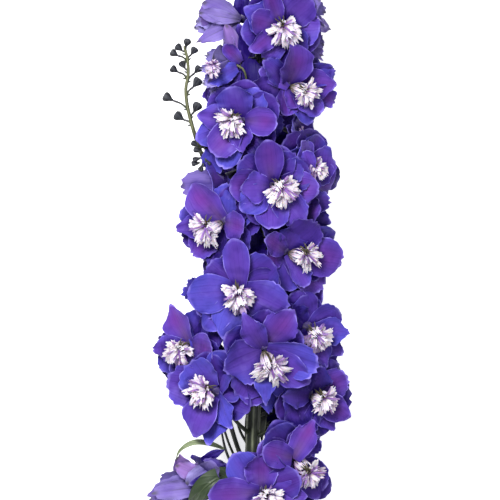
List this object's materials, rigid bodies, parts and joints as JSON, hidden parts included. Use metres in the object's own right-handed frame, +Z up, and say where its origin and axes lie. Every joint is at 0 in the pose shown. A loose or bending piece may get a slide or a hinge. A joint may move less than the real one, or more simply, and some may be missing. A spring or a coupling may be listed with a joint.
{
  "type": "delphinium flower spike",
  "caption": "Cut delphinium spike lying on its side: semi-double violet-blue florets with pale bees packed round a green stem, a thin side shoot with dark buds, and small leaves.",
  "frame": {"origin": "middle of the spike's outline as seen from above, at the height of the surface that it lies on", "axes": "+Y runs along the stem from its cut end to the tip, +X is to the right of somebody who looks down on the spike, and +Z is up; the side that faces +Z is the one the picture shows"},
  "size_m": [0.1208, 0.5267, 0.0913],
  "materials": {
    "sepal": "soft violet-blue petal",
    "bee": "soft pale petal",
    "stem": "matt olive-green plant stem",
    "bud": "matt slate-green buds on an olive stalk",
    "leaf": "soft dark-green leaf"
  },
  "bodies": {
    "root": {"stem": "stem", "side_shoot": "bud", "bract": "leaf", "leaf_left": "leaf", "leaf_right": "leaf", "floret_01": "sepal", "floret_02": "sepal", "floret_03": "sepal", "floret_04": "sepal", "floret_05": "sepal", "floret_06": "sepal", "floret_07": "sepal", "floret_08": "sepal", "floret_09": "sepal", "floret_10": "sepal", "floret_11": "sepal", "floret_12": "sepal", "floret_13": "sepal", "floret_14": "sepal", "floret_15": "sepal", "floret_16": "sepal", "floret_17": "sepal", "floret_18": "sepal", "floret_20": "sepal", "floret_21": "sepal", "floret_22": "sepal", "floret_23": "sepal", "floret_24": "sepal", "floret_25": "sepal", "floret_26": "sepal", "floret_27": "sepal", "floret_29": "sepal", "floret_30": "sepal", "floret_31": "sepal", "floret_32": "sepal", "floret_33": "sepal", "floret_34": "sepal", "floret_35": "sepal", "floret_36": "sepal", "floret_37": "sepal", "floret_38": "sepal", "floret_39": "sepal", "floret_40": "sepal", "floret_41": "sepal", "floret_42": "sepal", "bee_01": "bee", "bee_02": "bee", "bee_03": "bee", "bee_04": "bee", "bee_05": "bee", "bee_06": "bee", "bee_07": "bee", "bee_08": "bee", "bee_09": "bee", "bee_10": "bee", "bee_11": "bee", "bee_12": "bee", "bee_13": "bee", "bee_14": "bee", "bee_15": "bee"}
  },
  "joints": []
}
